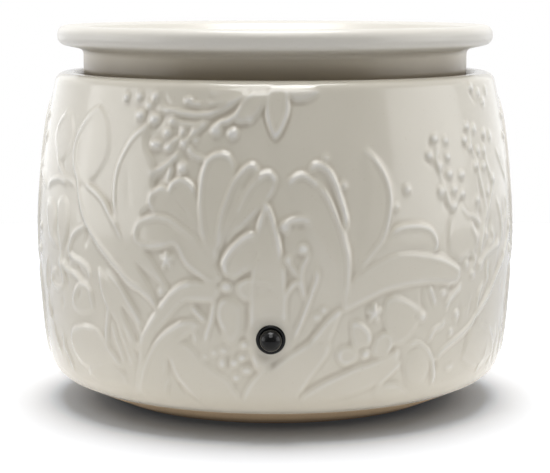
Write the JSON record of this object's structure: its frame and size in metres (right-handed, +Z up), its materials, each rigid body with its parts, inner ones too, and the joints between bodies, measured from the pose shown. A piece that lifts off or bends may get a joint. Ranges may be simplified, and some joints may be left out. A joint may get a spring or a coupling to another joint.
{
  "type": "electric wax melt warmer",
  "caption": "Electric wax melt warmer: round glazed ceramic body with a recessed hot plate, lift-off melting dish with rolled rim, and front push button.",
  "frame": {"origin": "on the table, under the middle of the body: centre of the bounding box at the rubber feet", "axes": "+Z up, the button faces -Y, the cord bushing opens towards +Y"},
  "size_m": [0.1238, 0.129, 0.0979],
  "materials": {
    "body_glaze": "glossy cream glaze over stoneware, unglazed tan foot",
    "dish_glaze": "glossy cream glaze",
    "plate_metal": "satin pressed aluminium",
    "silicone": "matt red-brown silicone",
    "mica": "flaky mica sheet",
    "heater_foil": "etched resistance foil",
    "zinc_steel": "zinc-plated steel",
    "fuse_case": "tinned case in a glass sleeve",
    "base_paint": "fine-textured paint",
    "foot_rubber": "matt black rubber",
    "black_gloss": "glossy black plastic",
    "black_matte": "matt black plastic",
    "spring_steel": "bright wire",
    "brass": "plain brass",
    "sleeve_vinyl": "translucent vinyl sleeve",
    "ivory_nylon": "ivory nylon",
    "lead_brown": "silicone sleeve",
    "lead_white": "silicone sleeve",
    "lead_blue": "silicone sleeve"
  },
  "bodies": {
    "root": {"body_shell": "body_glaze", "hot_plate": "plate_metal", "plate_studs": "plate_metal", "plate_gasket": "silicone", "upper_mica": "mica", "heater_element": "heater_foil", "lower_mica": "mica", "clamp_plate": "zinc_steel", "clamp_nut": "zinc_steel", "shield_spacer": "zinc_steel", "heat_shield": "zinc_steel", "shield_nut": "zinc_steel", "thermal_fuse": "fuse_case", "fuse_clip": "zinc_steel", "fuse_crimp": "brass", "tie_pillars": "zinc_steel", "base_plate": "base_paint", "base_screws": "zinc_steel", "rubber_feet": "foot_rubber", "button_bezel": "black_gloss", "button_spring": "spring_steel", "button_nut": "black_matte", "button_switch": "black_matte", "switch_tabs": "brass", "tab_connectors": "sleeve_vinyl", "cord_bushing": "ivory_nylon", "bushing_nut": "ivory_nylon", "terminal_block": "ivory_nylon", "terminal_screws": "brass", "block_screw": "zinc_steel", "mains_lead": "lead_brown", "switched_lead": "lead_white", "neutral_lead": "lead_blue"},
    "dish": {"wax_dish": "dish_glaze"},
    "button": {"button_cap": "black_gloss"}
  },
  "joints": [
    {"name": "dish_lift", "type": "slide", "parent": "root", "child": "dish", "axis": [0, 0, 1], "range_m": [0, 0.05]},
    {"name": "button_press", "type": "slide", "parent": "root", "child": "button", "axis": [0, 1, 0], "range_m": [0, 0.0015], "stiffness_N_per_m": 300, "springref_m": -0.002, "deforming": ["button_spring"]}
  ]
}
